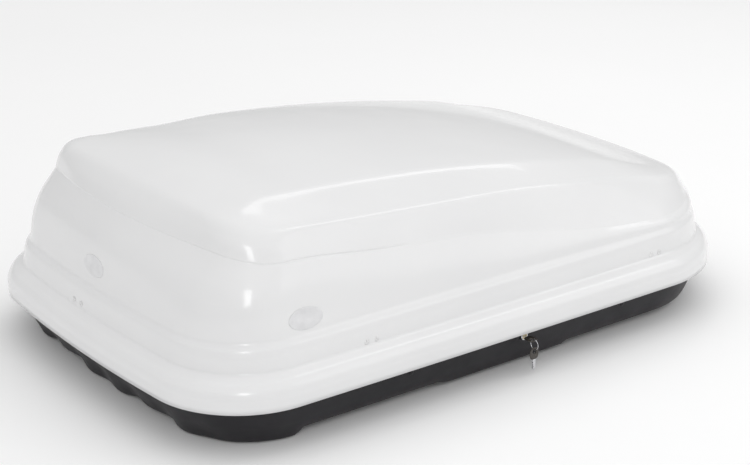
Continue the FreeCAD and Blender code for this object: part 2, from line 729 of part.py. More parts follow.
# The cam's crank pin starts 45 degrees to the rear of upright and turns 90 degrees forward.
CRANK_START = math.radians(-45)
CRANK = size("crank_radius")
crank_x = size("lock_x") + CRANK * math.sin(CRANK_START)
crank_z = size("lock_z") + CRANK * math.cos(CRANK_START)
cam_y = f"-sizes.lock_y + {CAM_DEPTH}"
cam_items = [
    rod("cam_disc", "sizes.crank_radius + 5", 2, "Y", ("sizes.lock_x", cam_y, "sizes.lock_z")),
    rod("cam_crank_pin", "sizes.crank_pin_radius", 7.5, "Y", (crank_x, cam_y, crank_z)),
]
cam_bore = rod("cam_bore", 2, 10, "Y", ("sizes.lock_x", cam_y + " - 4", "sizes.lock_z"))
subpart(cut("lock_cam", fused("cam_solid", cam_items), cam_bore), "lock_cam")
screw_items = [
    rod("cam_screw_shank", 2, 8, "Y", ("sizes.lock_x", cam_y + " - 5.8", "sizes.lock_z")),
    rod("cam_screw_head", 4, 1.8, "Y", ("sizes.lock_x", cam_y + " + 2.1", "sizes.lock_z")),
]
subpart(fused("cam_screw", screw_items), "cam_screw")


# ---------------------------------------------------------------- keys and ring

HEAD = size("key_head")
KEY_HALF = size("key_width") / 2
KEY_HOLE = 4.7
KEY_WEB = 3.1
RING_SLACK = 0.4


def key(label):
    """Flat key along +X of its own frame: blade first, head behind, hole near the end."""
    blade = size("blade_width") / 2
    points = [
        (0, -blade), (0, -KEY_HALF * 0.8), (-4, -KEY_HALF), (-HEAD * 0.7, -KEY_HALF),
        (-HEAD, -KEY_HALF * 0.55), (-HEAD, KEY_HALF * 0.55), (-HEAD * 0.7, KEY_HALF),
        (-4, KEY_HALF), (0, KEY_HALF * 0.8), (0, blade), (size("blade_length") - 3, blade),
        (size("blade_length"), 0), (size("blade_length") - 3, -blade),
    ]
    hole = (KEY_HOLE + KEY_WEB - HEAD, 0)
    return plate(label, points, "sizes.key_thick", holes=[(hole, KEY_HOLE)])


KEY_FRONT = -size("lock_y") - 8
flat_key = key("key")
flat_key.Placement = FreeCAD.Placement(
    V(size("lock_x"), KEY_FRONT, size("lock_z") - size("key_thick") / 2),
    FreeCAD.Rotation(V(0, 1, 0), V(-1, 0, 0), V(0, 0, 1), "ZXY"))

WIRE = size("ring_wire")
RING = size("ring_radius")
web_y = KEY_FRONT - HEAD + KEY_WEB / 2
ring_z = size("lock_z") + size("key_thick") / 2 + RING_SLACK - (RING - WIRE)
ring = document.addObject("Part::Torus", "key_ring")
ring.setExpression("Radius1", "sizes.ring_radius")
ring.setExpression("Radius2", "sizes.ring_wire")
ring.Placement = FreeCAD.Placement(V(size("lock_x"), web_y, ring_z), AXIS_TURNS["X"])
subpart(ring, "key_ring")

spare_top = ring_z - RING + WIRE + RING_SLACK + KEY_WEB
spare = key("spare_key")
spare.Placement = FreeCAD.Placement(
    V(size("lock_x"), web_y - size("key_thick") / 2, spare_top - HEAD),
    FreeCAD.Rotation(V(0, 0, -1), V(-1, 0, 0), V(0, 1, 0), "ZXY"))


# ---------------------------------------------------------------- sliding bar and catches

TONGUE = size("tongue_radius")
BAR_LOW, BAR_HIGH = size("lock_z") - 10, size("lock_z") + 8
BAR_THICK = size("bar_thick")
BAR_TAIL = 70
BAR_NOSE = 20
CATCH_STEPS = {"rear": -1, "front": 1}
# A hook's back, inner face and nose, each this far to the rear of its tongue.
HOOK_BACK, HOOK_INNER, HOOK_NOSE, HOOK_DEPTH = 36, 22, 7, 8


def hook_points(tongue_x):
    """Hook rising from the bar: its nose stops just short of the tongue's path."""
    back = tongue_x - HOOK_BACK
    inner = tongue_x - HOOK_INNER
    nose = tongue_x - HOOK_NOSE
    under = size("catch_z") + TONGUE + 1
    over = under + HOOK_DEPTH
    return [(inner, BAR_HIGH), (inner, under), (nose, under), (nose, over), (back, over),
            (back, BAR_HIGH)]


def lock_bar():
    """Sliding bar with two hooks and a window for the cam's crank pin."""
    low, high = BAR_LOW, BAR_HIGH
    middle = size("lock_x")
    rear_end = middle - size("catch_x") - BAR_TAIL
    front_end = middle + size("catch_x") + BAR_NOSE
    window_top = size("lock_z") + CRANK + 12
    points = [(rear_end, low), (front_end, low), (front_end, high)]
    points += hook_points(middle + size("catch_x"))
    points += [(middle + 18, high), (middle + 14, window_top), (middle - 26, window_top),
               (middle - 30, high)]
    points += hook_points(middle - size("catch_x"))
    points += [(rear_end, high)]
    slot_radius = size("crank_pin_radius") + 0.6
    body = plate("lock_bar", points, BAR_THICK, role="XZ_Plane",
                 slots=[((crank_x, crank_z - 1.5), (crank_x, crank_z + 5), slot_radius)])
    body.setExpression(".Placement.Base.y", "-sizes.catch_y + sizes.bar_thick")


lock_bar()

GUIDES = {"rear": -230, "front": 290}
GUIDE_WIDTH = 16
GUIDE_GAP = 0.5
GUIDE_WALL_INSET = 25 + WALL + 0.1
GUIDE_RIVET_INSET = 24.6
for guide_name, guide_x in GUIDES.items():
    label = f"bar_guide_{guide_name}"
    bar_y = size("catch_y")
    wall_y = side_y(abs(guide_x) + GUIDE_WIDTH / 2) - GUIDE_WALL_INSET
    solid = block(label + "_block", GUIDE_WIDTH, wall_y - bar_y + 5, 30,
                  (guide_x - GUIDE_WIDTH / 2, -wall_y, BAR_LOW - 6))
    channel = block(label + "_channel", GUIDE_WIDTH + 4, BAR_THICK + 2 * GUIDE_GAP,
                    BAR_HIGH - BAR_LOW + 2 * GUIDE_GAP,
                    (guide_x - GUIDE_WIDTH / 2 - 2, -bar_y - GUIDE_GAP, BAR_LOW - GUIDE_GAP))
    subpart(cut(label, solid, channel), label)
rivet_group("bar_guide_rivets", [
    ((x, GUIDE_RIVET_INSET - side_y(x), BAR_LOW + 9), (0, -1, 0), 10) for x in GUIDES.values()
])

STRIKER_WIDTH = 34
STRIKER_HEIGHT = 46
STRIKER_INSET = 36
STRIKER_RIVET_INSET = 30.5
STRIKER_RIVET_STEP = 11
STRIKER_RIVET_Z = 146
striker_rivets = []
for catch_name, step in CATCH_STEPS.items():
    label = f"striker_{catch_name}"
    x = size("lock_x") + step * size("catch_x")
    plate_y = -side_y(x) + STRIKER_INSET
    tongue_length = -size("catch_y") + 6 - plate_y
    tongue_items = [
        block(label + "_plate", STRIKER_WIDTH, size("strip"), STRIKER_HEIGHT,
              (x - STRIKER_WIDTH / 2, plate_y, size("catch_z") - 8)),
        rod(label + "_tongue", "sizes.tongue_radius", tongue_length, "Y",
            (x, plate_y, "sizes.catch_z")),
    ]
    subpart(fused(label, tongue_items), label)
    face = STRIKER_RIVET_INSET - side_y(x)
    for way in (-1, 1):
        spot = (x + way * STRIKER_RIVET_STEP, face, STRIKER_RIVET_Z)
        striker_rivets.append((spot, (0, -1, 0), STRIKER_INSET - STRIKER_RIVET_INSET + size("strip")))
rivet_group("striker_rivets", striker_rivets)


# ---------------------------------------------------------------- plain badges

def badge(label, centre, sideways, outward):
    """Small blank oval plate standing on a sloping wall."""
    rim = document.addObject("Part::Ellipse", label + "_rim")
    rim.setExpression("MajorRadius", "sizes.badge_length / 2")
    rim.setExpression("MinorRadius", "sizes.badge_height / 2")
    upward = outward.cross(sideways)
    oval = document.addObject("Part::Extrusion", label)
    oval.Base = rim
    oval.DirMode = "Custom"
    oval.Dir = outward
    oval.setExpression("LengthFwd", "sizes.badge_thick")
    oval.Solid = True
    rim.Placement = FreeCAD.Placement(centre, FreeCAD.Rotation(sideways, upward, outward, "ZXY"))
    subpart(oval, label)


side_lean = math.radians(16.6)
side_middle = V(-436, -388.2, 214)
side_outward = V(0, -math.cos(side_lean), math.sin(side_lean))
badge("side_badge", side_middle, V(1, 0, 0), side_outward)
rear_lean = math.radians(18.4)
rear_middle = V(-611.5, 5, 226)
rear_outward = V(-math.cos(rear_lean), 0, math.sin(rear_lean))
badge("rear_badge", rear_middle, V(0, -1, 0), rear_outward)


document.recompute()
for item in document.Objects:
    if "Invalid" in item.State or "Error" in item.State:
        raise SystemExit(f"{item.Name} failed: {item.State}")
os.makedirs("parts", exist_ok=True)
for item in SUBPARTS:
    shape = item.Shape
    if shape.isNull() or not shape.isValid() or not shape.Solids:
        raise SystemExit(f"{item.Label} has no sound solid")
    shape.exportStep(f"parts/{item.Label}.step")
print(len(SUBPARTS), "sub-parts")
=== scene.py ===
import json
import math

import bmesh
import bpy
import numpy as np
from mathutils import Matrix, Vector


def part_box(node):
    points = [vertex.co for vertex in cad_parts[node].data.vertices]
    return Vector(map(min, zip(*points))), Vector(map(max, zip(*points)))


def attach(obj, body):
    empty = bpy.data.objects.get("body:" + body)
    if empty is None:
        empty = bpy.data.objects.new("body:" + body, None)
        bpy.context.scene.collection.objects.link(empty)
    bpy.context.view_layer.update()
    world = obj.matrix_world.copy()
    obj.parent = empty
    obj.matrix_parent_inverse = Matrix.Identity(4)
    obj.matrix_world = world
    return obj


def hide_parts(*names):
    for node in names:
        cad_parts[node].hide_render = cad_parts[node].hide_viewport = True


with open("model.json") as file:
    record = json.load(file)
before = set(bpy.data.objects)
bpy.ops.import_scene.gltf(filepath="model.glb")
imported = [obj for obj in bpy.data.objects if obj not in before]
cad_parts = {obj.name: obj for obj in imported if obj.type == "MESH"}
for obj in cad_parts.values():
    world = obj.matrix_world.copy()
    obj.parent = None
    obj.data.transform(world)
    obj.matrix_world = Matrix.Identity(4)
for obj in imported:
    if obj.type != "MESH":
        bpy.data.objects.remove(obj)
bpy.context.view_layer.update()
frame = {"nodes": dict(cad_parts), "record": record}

# Roof cargo box: glossy white lid over a satin black tray. Lengths are in millimetres here and
# turn into metres as each mesh is made. X runs forward to the low nose, Z up, ground at zero.
# A wall's plan is drawn in from the rim by insets at its rear, front and sides.

MM = 0.001
HALF_LENGTH = 669.8
HALF_WIDTH = 437.5
WALL = 3.0
MERGE_GAP = 0.02
RIM_REAR_CORNER, RIM_FRONT_CORNER = 179.0, 240.0
SIDE_RISE, REAR_RISE, FRONT_RISE = 4.5, 28.7, 86.0
REAR_CORNER_LOSS = 0.65
CORNER_POINTS, SIDE_POINTS, END_POINTS = 32, 68, 17


# ---------------------------------------------------------------- curves

def spline(table):
    """Natural cubic spline through (x, value) pairs, level beyond its ends."""
    x, y = np.array(table, float).T
    n = len(x)
    gap = np.diff(x)
    a = np.zeros((n, n))
    b = np.zeros(n)
    a[0, 0] = a[-1, -1] = 1
    for i in range(1, n - 1):
        a[i, i - 1: i + 2] = gap[i - 1], 2 * (gap[i - 1] + gap[i]), gap[i]
        b[i] = 3 * ((y[i + 1] - y[i]) / gap[i] - (y[i] - y[i - 1]) / gap[i - 1])
    c = np.linalg.solve(a, b)
    slope = np.diff(y) / gap - gap * (2 * c[:-1] + c[1:]) / 3
    d = np.diff(c) / (3 * gap)

    def value(at):
        at = np.clip(at, x[0], x[-1])
        i = np.clip(np.searchsorted(x, at, side="right") - 1, 0, n - 2)
        t = at - x[i]
        return y[i] + t * (slope[i] + t * (c[i] + t * d[i]))

    return value


def smooth(low, high, at):
    """0 before low, 1 after high, and an even rise between."""
    t = np.clip((at - low) / (high - low), 0, 1)
    return t * t * t * (t * (6 * t - 15) + 10)


def bow_radius(half_chord, rise):
    """Radius of an arc from half its chord and its rise."""
    return (half_chord ** 2 + rise ** 2) / (2 * rise)


SIDE_BOW = bow_radius(HALF_LENGTH, SIDE_RISE)
REAR_BOW = bow_radius(HALF_WIDTH, REAR_RISE)
FRONT_BOW = bow_radius(HALF_WIDTH, FRONT_RISE)


def corner_centre(end, end_bow, side, fillet, sign_x, sign_y):
    """Centre of the fillet inside both an end's arc and a side's arc, on the wanted corner."""
    gap = end - side
    length = np.hypot(*gap)
    reach_end, reach_side = end_bow - fillet, SIDE_BOW - fillet
    along = (reach_side ** 2 - reach_end ** 2 + length ** 2) / (2 * length)
    off = math.sqrt(max(reach_side ** 2 - along ** 2, 0))
    way = gap / length
    across = np.array([-way[1], way[0]])
    spots = [side + way * along + across * off * turn for turn in (1, -1)]
    return max(spots, key=lambda spot: spot[0] * sign_x + spot[1] * sign_y)


def outline(rear, front, side, rear_corner, front_corner, rear_bow=REAR_BOW, front_bow=FRONT_BOW):
    """Plan outline drawn in from the rim by these insets: bowed sides and tangent corners.

    The right half is worked out from the rear's middle to the front's, and the left mirrors it.
    """
    rear_end = np.array([rear_bow - HALF_LENGTH + rear, 0.0])
    front_end = np.array([HALF_LENGTH - front - front_bow, 0.0])
    side_centre = np.array([0.0, SIDE_BOW - HALF_WIDTH + side])
    rear_turn = corner_centre(rear_end, rear_bow, side_centre, rear_corner, -1, -1)
    front_turn = corner_centre(front_end, front_bow, side_centre, front_corner, 1, -1)

    def heading(a, b):
        return math.atan2(b[1] - a[1], b[0] - a[0]) % (2 * math.pi)

    stops = [math.pi, heading(rear_end, rear_turn), heading(side_centre, rear_turn),
             heading(side_centre, front_turn), heading(front_end, front_turn), 2 * math.pi]
    arcs = [(rear_end, rear_bow, END_POINTS), (rear_turn, rear_corner, CORNER_POINTS),
            (side_centre, SIDE_BOW, SIDE_POINTS), (front_turn, front_corner, CORNER_POINTS),
            (front_end, front_bow, END_POINTS)]
    points = []
    for (centre, radius, count), start, stop in zip(arcs, stops, stops[1:]):
        t = np.linspace(start, stop, count, endpoint=False)
        points.append(np.c_[centre[0] + radius * np.cos(t), centre[1] + radius * np.sin(t)])
    right = np.concatenate(points + [[[HALF_LENGTH - front, 0.0]]])
    right[0, 1] = 0
    return np.concatenate([right, right[-2:0:-1] * (1, -1)])


def ring(plan, height):
    """Plan points raised to a height, or to a function of X."""
    z = height(plan[:, 0]) if callable(height) else np.full(len(plan), float(height))
    return np.c_[plan, z]


LONGEST_REACH = 0.49


def rounded_rows(keys, reaches, bend=6, run=2):
    """Rows of points up a wall through key rows, with each key's corner rounded off."""
    rows = [keys[0]]
    for k in range(1, len(keys) - 1):
        before, here, after = keys[k - 1], keys[k], keys[k + 1]
        back, on = before - here, after - here
        back_length = np.linalg.norm(back, axis=1)
        on_length = np.linalg.norm(on, axis=1)
        longest = LONGEST_REACH * np.minimum(back_length, on_length)
        reach = np.minimum(reaches[k], longest)
        enter = here + back * (reach / back_length)[:, None]
        leave = here + on * (reach / on_length)[:, None]
        last = rows[-1]
        for step in range(1, run):
            rows.append(last + (enter - last) * step / run)
        for t in np.linspace(0, 1, bend):
            rows.append((1 - t) ** 2 * enter + 2 * t * (1 - t) * here + t * t * leave)
    last = rows[-1]
    for step in range(1, run + 1):
        rows.append(last + (keys[-1] - last) * step / run)
    return rows


# ---------------------------------------------------------------- meshes

def make_object(name, points, faces, smooth_shade=True):
    """New object in the scene from points in millimetres."""
    mesh = bpy.data.meshes.new(name)
    mesh.from_pydata([tuple(p) for p in np.asarray(points) * MM], [], faces)
    mesh.validate()
    mesh.update()
    for polygon in mesh.polygons:
        polygon.use_smooth = smooth_shade
    item = bpy.data.objects.new(name, mesh)
    bpy.context.scene.collection.objects.link(item)
    return item


def ring_faces(row_count, count):
    """Quads between rows of points, each row closed on itself."""
    faces = []
    for r in range(row_count - 1):
        a, b = r * count, (r + 1) * count
        for i in range(count):
            j = (i + 1) % count
            faces.append((a + i, a + j, b + j, b + i))
    return faces


def apply_modifiers(item):
    """Put the modified mesh in place of the object's own."""
    bpy.context.view_layer.update()
    evaluated = item.evaluated_get(bpy.context.evaluated_depsgraph_get())
    mesh = bpy.data.meshes.new_from_object(evaluated)
    item.modifiers.clear()
    item.data = mesh


def shell(name, rows):
    """Closed thin-walled moulding: the rows' skin, made thick inwards."""
    item = make_object(name, np.concatenate(rows), ring_faces(len(rows), len(rows[0])))
    work = bmesh.new()
    work.from_mesh(item.data)
    bmesh.ops.remove_doubles(work, verts=work.verts, dist=MERGE_GAP * MM)
    bmesh.ops.recalc_face_normals(work, faces=work.faces)
    work.to_mesh(item.data)
    work.free()
    thick = item.modifiers.new("thickness", "SOLIDIFY")
    thick.thickness = WALL * MM
    thick.offset = -1
    thick.use_even_offset = False
    thick.material_offset = 1
    apply_modifiers(item)
    return item


# ---------------------------------------------------------------- lid

EDGE_HALF = 333.0
PANEL_HALF, PANEL_NARROWING, PANEL_FLARE = 265.0, 18.0, 40.0
RIDGE_SOFTNESS, REAR_SOFTER, NOSE_SOFTER = 5.5, 9.0, 3.0
crease_height = spline([(-600, 331), (-560, 326), (-520, 315), (-426, 307), (-269, 288), (-101, 275),
                        (40, 256), (223, 225), (330, 213), (450, 208), (520, 213), (580, 225), (640, 232)])
panel_height = spline([(-600, 362), (-545, 371), (-490, 380), (-424, 385), (-344, 382), (-220, 378),
                       (-121, 372), (0, 361), (120, 346), (200, 334), (300, 317), (380, 301),
                       (450, 280.5), (520, 261), (570, 249.5), (640, 232)])
edge_height = spline([(-600, 346), (-545, 352), (-490, 356), (-424, 354.5), (-250, 342), (-82, 332),
                      (60, 324), (139, 317), (230, 305), (314, 292), (410, 275), (502, 259),
                      (570, 248), (640, 232)])
crown_rise = spline([(-600, 2), (-545, 8), (-480, 15), (-400, 19), (-200, 20), (100, 20), (320, 16),
                     (450, 7.5), (570, 3.5), (640, 2.5)])


def roof_height(x, y):
    """Top surface: a crowned middle panel and a chamfer down to the side edges."""
    panel, edge, rise = panel_height(x), edge_height(x), crown_rise(x)
    half = PANEL_HALF - PANEL_NARROWING * smooth(-160, -400, x) + PANEL_FLARE * smooth(-425, -530, x)
    lean_in = 2 * rise / half
    off = np.abs(y) - half
    inside = panel + rise * (1 - np.minimum(np.abs(y) / half, 1) ** 2)
    inside = inside - lean_in * np.maximum(off, 0)
    lean_out = np.maximum((panel - edge) / (EDGE_HALF - half), 0)
    soft = RIDGE_SOFTNESS + REAR_SOFTER * smooth(-470, -540, x) + NOSE_SOFTER * smooth(420, 600, x)
    slide = soft * np.logaddexp(0, off / soft)
    return inside - np.maximum(lean_out - lean_in, 0) * slide


rim = outline(0, 0, 0, RIM_REAR_CORNER, RIM_FRONT_CORNER)
ALONG = rim[:, 0]
FRONTNESS = smooth(180, 560, ALONG)
REARNESS = smooth(-430, -600, ALONG)


def wall_ring(height, rear, front, side, rear_loss=None, front_loss=None, **bows):
    """Ring of a wall, its corners tighter than the rim's by the two losses."""
    rear_corner = RIM_REAR_CORNER - (REAR_CORNER_LOSS * rear if rear_loss is None else rear_loss)
    front_corner = RIM_FRONT_CORNER - (front if front_loss is None else front_loss)
    return ring(outline(rear, front, side, rear_corner, front_corner, **bows), height)


def mixed(rear_ring, front_ring, weight):
    """Ring that goes from one to another by a weight at each point."""
    return rear_ring + (front_ring - rear_ring) * weight[:, None]


def on_roof(plan):
    return np.c_[plan, roof_height(plan[:, 0], plan[:, 1])]


CREASE_REAR_BOW, EDGE_REAR_BOW, EDGE_FRONT_BOW = 1080.0, 4000.0, 1250.0
crease = mixed(wall_ring(crease_height, 86, 56, 79.5, 84, 66, rear_bow=CREASE_REAR_BOW),
               wall_ring(crease_height, 86, 56, 54, 84, 60, rear_bow=CREASE_REAR_BOW),
               smooth(-140, 430, ALONG))
edge_plan = outline(127, 73, 104.5, 106, 125, rear_bow=EDGE_REAR_BOW, front_bow=EDGE_FRONT_BOW)
edge = on_roof(edge_plan)
shoulder = mixed(wall_ring(188, 47, 40, 44), wall_ring(188, 47, 40, 40), FRONTNESS)


def wall_between(low, high, share, bulge):
    """Ring part of the way up a wall, pushed outward from the straight line."""
    between = low + (high - low) * share
    outward = rim - between[:, :2]
    outward /= np.linalg.norm(outward, axis=1)[:, None]
    between[:, :2] += outward * np.asarray(bulge)[:, None]
    return between


# The groove's depth and how far its two lips stand off along the wall and the band.
GROOVE_DEPTH, GROOVE_LOW_SHARE, GROOVE_HIGH_SHARE = 1.9, 2.2 / 60, 2.2 / 45
SIDE_BULGE, REAR_BULGE, BAND_BULGE, REAR_BAND_BULGE = 4.0, 11.0, 1.0, 5.0
ZEROS = np.zeros(len(rim))
groove = wall_between(crease, crease, 0, -GROOVE_DEPTH * smooth(-180, -330, ALONG))
bulge = SIDE_BULGE + REAR_BULGE * REARNESS
lid_keys = [
    wall_ring(82, 0, 0, 0),
    wall_ring(106, 0, 0, 0),
    wall_ring(119, 4, 4, 4),
    wall_ring(130, 12, 12, 12),
    wall_ring(138, 27, 25, 27),
    wall_ring(141, 31, 28, 30),
    wall_ring(165, 34, 32, 32),
    mixed(wall_ring(179, 38, 36, 36), wall_ring(179, 38, 35.5, 34), FRONTNESS),
    shoulder,
    wall_between(shoulder, crease, 0.33, bulge * 0.9),
    wall_between(shoulder, crease, 0.64, bulge),
    wall_between(crease, shoulder, GROOVE_LOW_SHARE, ZEROS),
    groove,
    wall_between(crease, edge, GROOVE_HIGH_SHARE, ZEROS),
    wall_between(crease, edge, 0.5, BAND_BULGE + REAR_BAND_BULGE * REARNESS),
    edge,
]

# How far from each key ring its rounding starts: rim, steps, shoulder, wall, groove, band, edge.
WALL_REACH = 30
lip_reach = 1.2 + 15 * smooth(360, 520, ALONG)
edge_reach = 7 + 26 * REARNESS + 5 * smooth(-80, 260, ALONG) + 10 * smooth(430, 620, ALONG)
lid_reaches = [0, 4, 4, 5, 3.5, 3, 9, 4, 5 + 24 * smooth(250, 520, ALONG), WALL_REACH, WALL_REACH,
               lip_reach, 0.8, lip_reach, WALL_REACH, edge_reach]
LID_SPINE_REAR, LID_SPINE_FRONT = -330, 400
# Rows of the roof, by their share of the way from its edge to a spine along its middle.
TOP_SHARES = np.concatenate([[0.12], np.linspace(0.155, 0.42, 19), np.linspace(0.46, 1, 13)])
spine = np.c_[np.clip(edge[:, 0], LID_SPINE_REAR, LID_SPINE_FRONT), ZEROS]
top_rows = [on_roof(edge_plan + (spine - edge_plan) * share) for share in TOP_SHARES]
lid = shell("lid_moulding", rounded_rows(lid_keys + top_rows[:1], lid_reaches) + top_rows[1:])
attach(lid, "lid")
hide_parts("lid_shell")


# ---------------------------------------------------------------- tray

def ridge_drop(x, y, middle_x, middle_y, length, width, depth, slope):
    """How far a flat-bottomed ridge is pressed down at a place."""
    gap = np.maximum(np.abs(x - middle_x) - length / 2, np.abs(y - middle_y) - width / 2)
    return depth * smooth(slope, 0, gap)


FLOOR_HEIGHT, HEEL_DROP = 13.5, 6.0
# Each ridge's middle, length and width, how deep it is and how wide its flank is.
KEEL = (-130, 0, 1070, 130, FLOOR_HEIGHT, 60)
BAND = (12, 0, 290, 800, 6, 12)
FEET = [(-540, way * 330, 150, 190, 12, 24) for way in (-1, 1)]


def floor_height(x, y):
    """Underside of the tray: a keel, a cross band and two rear feet below the floor."""
    ridges = [ridge_drop(x, y, *ridge) for ridge in (KEEL, BAND, *FEET)]
    return FLOOR_HEIGHT - np.maximum.reduce([HEEL_DROP * smooth(-520, -600, x), *ridges])


FLUTE_PITCH = 104


def fluted(wall, depth):
    """Ring with shallow upright flutes pressed into its rear end."""
    waved = wall.copy()
    waves = np.cos(2 * math.pi * wall[:, 1] / FLUTE_PITCH)
    waved[:, 0] += depth * smooth(-540, -600, wall[:, 0]) * waves
    return waved


tray_keys = [
    wall_ring(117, 9, 9, 9),
    wall_ring(84, 9, 9, 9),
    wall_ring(82, 22, 22, 24),
    fluted(wall_ring(48, 33, 38, 27, front_loss=30), 1.5),
    fluted(wall_ring(26, 46, 46, 37, front_loss=40), 3),
    fluted(wall_ring(13, 57, 53, 47, rear_loss=30, front_loss=50), 3.5),
]
tray_keys[-1][:, 2] = floor_height(tray_keys[-1][:, 0], tray_keys[-1][:, 1])
TRAY_REACHES = [0, 2, 5, 14, 10, 7]
TRAY_SPINE_END = 400
# Rows of the floor, by their share of the way from its edge to a spine along its middle.
FLOOR_SHARES = np.concatenate([[0.06], np.linspace(0.075, 1, 74)])
floor_plan = tray_keys[-1][:, :2]
tray_spine = np.c_[np.clip(floor_plan[:, 0], -TRAY_SPINE_END, TRAY_SPINE_END), ZEROS]
floor_rows = []
for share in FLOOR_SHARES:
    plan = floor_plan + (tray_spine - floor_plan) * share
    floor_rows.append(np.c_[plan, floor_height(plan[:, 0], plan[:, 1])])
tray = shell("tray_moulding", rounded_rows(tray_keys + floor_rows[:1], TRAY_REACHES) + floor_rows[1:])


def prism(outline_points, low, high, turn):
    """Closed prism: its outline in a plane, its height along the third axis, then a turn."""
    count = len(outline_points)
    points = [turn(x, y, z) for z in (low, high) for x, y in outline_points]
    faces = [tuple(range(count))[::-1], tuple(range(count, 2 * count))]
    faces += [(i, (i + 1) % count, count + (i + 1) % count, count + i) for i in range(count)]
    return points, faces


def slot_outline(x, y, length, width):
    """Long hole with round ends."""
    reach, radius = (length - width) / 2, width / 2
    steps = 12
    points = []
    for way, start in ((1, -90), (-1, 90)):
        for step in range(steps + 1):
            angle = math.radians(start + 180 / steps * step)
            points.append((x + way * reach + radius * math.cos(angle), y + radius * math.sin(angle)))
    return points


def gathered(solids):
    """Points and faces of several solids as one list of each."""
    points, faces = [], []
    for solid_points, solid_faces in solids:
        faces += [tuple(len(points) + i for i in face) for face in solid_faces]
        points += [tuple(point) for point in solid_points]
    return points, faces


def cut_holes(item, solids):
    """Cut closed solids out of a moulding."""
    cutter = make_object("hole_cutter", *gathered(solids), False)
    dig = item.modifiers.new("holes", "BOOLEAN")
    dig.operation, dig.solver, dig.object = "DIFFERENCE", "EXACT", cutter
    apply_modifiers(item)
    bpy.data.objects.remove(cutter)


def corners(node):
    """Lowest and highest corner of a node's box, in millimetres."""
    return [np.array(corner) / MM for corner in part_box(node)]


LOCK_LOW, LOCK_HIGH = corners("lock_barrel")
LOCK_X, LOCK_Z = (LOCK_LOW[0] + LOCK_HIGH[0]) / 2, (LOCK_LOW[2] + LOCK_HIGH[2]) / 2
LOCK_HOLE, LOCK_HOLE_LENGTH, LOCK_CUT_INNER, LOCK_CUT_OUTER = 14.5, 14.645, 398, 426
BAR_SLOT_X, BAR_SLOT_Y, BAR_SLOT_LENGTH, BAR_SLOT_WIDTH = 300, 280, 220, 8.5
SLOT_CUT_LOW, SLOT_CUT_HIGH = 2, 30
holes = []
for x, y in ((-1, -1), (-1, 1), (1, -1), (1, 1)):
    slot = slot_outline(x * BAR_SLOT_X, y * BAR_SLOT_Y, BAR_SLOT_LENGTH, BAR_SLOT_WIDTH)
    holes.append(prism(slot, SLOT_CUT_LOW, SLOT_CUT_HIGH, lambda a, b, c: (a, b, c)))
lock_hole = slot_outline(LOCK_X, LOCK_Z, LOCK_HOLE_LENGTH, LOCK_HOLE)
holes.append(prism(lock_hole, LOCK_CUT_INNER, LOCK_CUT_OUTER, lambda a, b, c: (a, -c, b)))
cut_holes(tray, holes)
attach(tray, "tray")
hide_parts("base_shell")


# ---------------------------------------------------------------- materials

def material(name, colour, roughness, metallic=0.0, coat=0.0):
    made = bpy.data.materials.new(name)
    made.use_nodes = True
    shader = made.node_tree.nodes["Principled BSDF"]
    shader.inputs["Base Color"].default_value = (*colour, 1)
    shader.inputs["Roughness"].default_value = roughness
    shader.inputs["Metallic"].default_value = metallic
    shader.inputs["Coat Weight"].default_value = coat
    return made, made.node_tree, shader


def noise(tree, scale, detail=3.0):
    """Noise in the object's own metres."""
    place = tree.nodes.new("ShaderNodeTexCoord")
    texture = tree.nodes.new("ShaderNodeTexNoise")
    texture.inputs["Scale"].default_value = scale
    texture.inputs["Detail"].default_value = detail
    tree.links.new(place.outputs["Object"], texture.inputs["Vector"])
    return texture.outputs["Fac"]


def ranged(tree, value, low, high, start=0.3, stop=0.7):
    """A value between start and stop spread over low to high."""
    node = tree.nodes.new("ShaderNodeMapRange")
    node.inputs["From Min"].default_value = start
    node.inputs["From Max"].default_value = stop
    node.inputs["To Min"].default_value = low
    node.inputs["To Max"].default_value = high
    tree.links.new(value, node.inputs["Value"])
    return node.outputs["Result"]


def tinted(tree, value, dark, light):
    """Colour from dark to light by a value."""
    node = tree.nodes.new("ShaderNodeMix")
    node.data_type = "RGBA"
    node.inputs["A"].default_value = (*dark, 1)
    node.inputs["B"].default_value = (*light, 1)
    tree.links.new(value, node.inputs["Factor"])
    return node.outputs["Result"]


def bumped(tree, shader, value, strength, distance):
    node = tree.nodes.new("ShaderNodeBump")
    node.inputs["Strength"].default_value = strength
    node.inputs["Distance"].default_value = distance
    tree.links.new(value, node.inputs["Height"])
    tree.links.new(node.outputs["Normal"], shader.inputs["Normal"])


def surface(name, dark, light, rough, grain, bump, metallic=0.0, coat=0.0, specular=0.5):
    """Finish with a cloudy colour, roughness that varies, and a fine grain in the bump."""
    made, tree, shader = material(name, light, rough[1], metallic, coat)
    shader.inputs["Specular IOR Level"].default_value = specular
    clouds = ranged(tree, noise(tree, grain[0], 4.0), 0, 1)
    tree.links.new(tinted(tree, clouds, dark, light), shader.inputs["Base Color"])
    worn = ranged(tree, noise(tree, grain[1], 5.0), *rough)
    tree.links.new(worn, shader.inputs["Roughness"])
    bumped(tree, shader, noise(tree, grain[2], 2.0), *bump)
    return made


